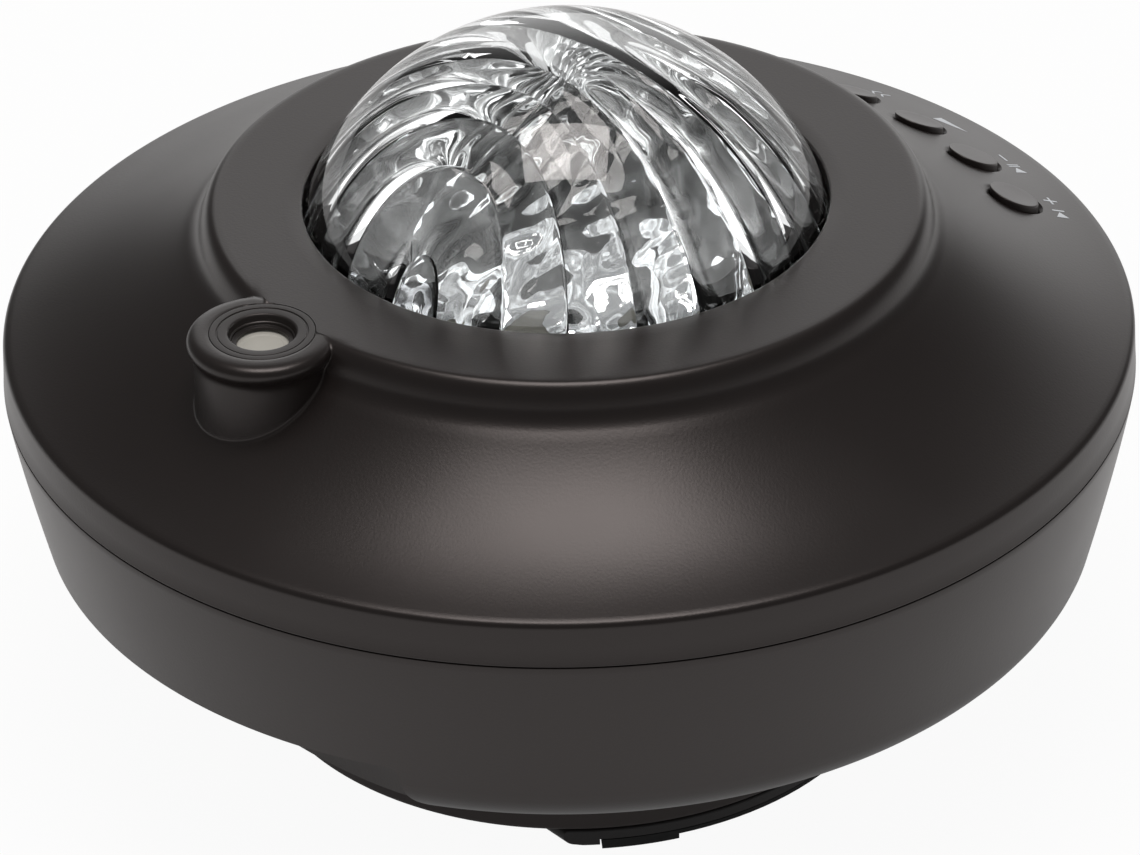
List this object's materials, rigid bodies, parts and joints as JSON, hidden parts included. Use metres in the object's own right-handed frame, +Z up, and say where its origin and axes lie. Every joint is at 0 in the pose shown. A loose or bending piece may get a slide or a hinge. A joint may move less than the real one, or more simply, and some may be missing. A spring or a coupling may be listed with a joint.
{
  "type": "star projector",
  "caption": "Round tabletop star projector: clear dome over a turning rippled lens, laser boss on the shoulder, push keys, recessed sockets, fold-out leg.",
  "frame": {"origin": "on the ground under the middle of the round case", "axes": "+Z up through the dome's crown, -Y towards the laser boss and the socket recess, +Y towards the keys, +X to the right seen from the boss"},
  "size_m": [0.168, 0.168, 0.1099],
  "materials": {
    "shell": "fine spark-eroded matte black",
    "foot": "matte dark grey",
    "stand": "smooth matte black",
    "pads": "matte rubber",
    "clear_dome": "polished clear",
    "clear_lens": "clear with swirled pleats",
    "inner_plastic": "moulded black",
    "gear_plastic": "natural acetal",
    "steel": "plated",
    "reflector": "vacuum metallised",
    "aluminium": "extruded, plain",
    "lamp_board": "white solder mask with lamps",
    "brass": "turned",
    "frosted": "frosted lens",
    "key": "satin grey top, glossy black side",
    "board": "green solder mask",
    "socket_plastic": "moulded black",
    "cone": "pressed paper cone",
    "magnet": "ferrite",
    "wire": "insulated wire",
    "screws": "zinc plated"
  },
  "bodies": {
    "body": {"upper_shell": "shell", "lower_shell": "shell", "base_plate": "foot", "dome": "clear_dome", "dome_retainer": "inner_plastic", "ripple_motor": "steel", "gear_deck": "inner_plastic", "reflector_cup": "reflector", "heat_sink": "aluminium", "led_board": "lamp_board", "laser_holder": "inner_plastic", "laser_module": "brass", "grating_motor": "steel", "aperture_bezel": "shell", "aperture_lens": "frosted", "button_board": "board", "chassis": "inner_plastic", "main_board": "board", "socket_board": "board", "power_socket": "socket_plastic", "usb_socket": "steel", "speaker_basket": "steel", "speaker_cone": "cone", "speaker_magnet": "magnet", "speaker_leads": "wire", "motor_leads": "wire", "power_leads": "wire", "shell_screw_1": "screws", "shell_screw_2": "screws", "shell_screw_3": "screws", "shell_screw_4": "screws", "base_screw_1": "screws", "base_screw_2": "screws", "base_screw_3": "screws", "retainer_screw_1": "screws", "retainer_screw_2": "screws", "retainer_screw_3": "screws", "stack_screw_1": "screws", "stack_screw_2": "screws", "stack_screw_3": "screws", "stack_screw_4": "screws", "speaker_screw_1": "screws", "speaker_screw_2": "screws", "button_board_screw_1": "screws", "button_board_screw_2": "screws", "main_board_screw_1": "screws", "main_board_screw_2": "screws", "socket_screw_1": "screws", "socket_screw_2": "screws"},
    "stand": {"kickstand": "stand", "kickstand_pads": "pads"},
    "lens": {"ripple_lens": "clear_lens"},
    "lens_pinion": {"ripple_pinion": "gear_plastic"},
    "star_wheel": {"grating_wheel": "gear_plastic"},
    "star_pinion": {"grating_pinion": "gear_plastic"},
    "key_1": {"button_1": "key"},
    "key_2": {"button_2": "key"},
    "key_3": {"button_3": "key"},
    "key_4": {"button_4": "key"},
    "key_5": {"button_5": "key"}
  },
  "joints": [
    {"name": "stand_fold", "type": "hinge", "parent": "body", "child": "stand", "pos_m": [0, -0.0312, 0.0025], "axis": [-1, 0, 0], "range_deg": [0, 70]},
    {"name": "lens_turn", "type": "hinge", "parent": "body", "child": "lens", "pos_m": [0, 0, 0.0695], "axis": [0, 0, 1], "continuous": true},
    {"name": "lens_pinion_turn", "type": "hinge", "parent": "body", "child": "lens_pinion", "pos_m": [0.04332, 0, 0.0695], "axis": [0, 0, 1], "continuous": true},
    {"name": "star_wheel_turn", "type": "hinge", "parent": "body", "child": "star_wheel", "pos_m": [0, -0.0569, 0.0622], "axis": [0, 0, 1], "continuous": true},
    {"name": "star_pinion_turn", "type": "hinge", "parent": "body", "child": "star_pinion", "pos_m": [-0.01569, -0.04784, 0.0622], "axis": [0, 0, 1], "continuous": true},
    {"name": "key_1_press", "type": "slide", "parent": "body", "child": "key_1", "axis": [0, 0, -1], "range_m": [0, 0.0005], "stiffness_N_per_m": 1500, "springref_m": -0.0003},
    {"name": "key_2_press", "type": "slide", "parent": "body", "child": "key_2", "axis": [0, 0, -1], "range_m": [0, 0.0005], "stiffness_N_per_m": 1500, "springref_m": -0.0003},
    {"name": "key_3_press", "type": "slide", "parent": "body", "child": "key_3", "axis": [0, 0, -1], "range_m": [0, 0.0005], "stiffness_N_per_m": 1500, "springref_m": -0.0003},
    {"name": "key_4_press", "type": "slide", "parent": "body", "child": "key_4", "axis": [0, 0, -1], "range_m": [0, 0.0005], "stiffness_N_per_m": 1500, "springref_m": -0.0003},
    {"name": "key_5_press", "type": "slide", "parent": "body", "child": "key_5", "axis": [0, 0, -1], "range_m": [0, 0.0005], "stiffness_N_per_m": 1500, "springref_m": -0.0003}
  ],
  "couplings": [
    {"joint": "lens_pinion_turn", "follows": "lens_turn", "ratio": -6.2},
    {"joint": "star_pinion_turn", "follows": "star_wheel_turn", "ratio": -2.75}
  ]
}
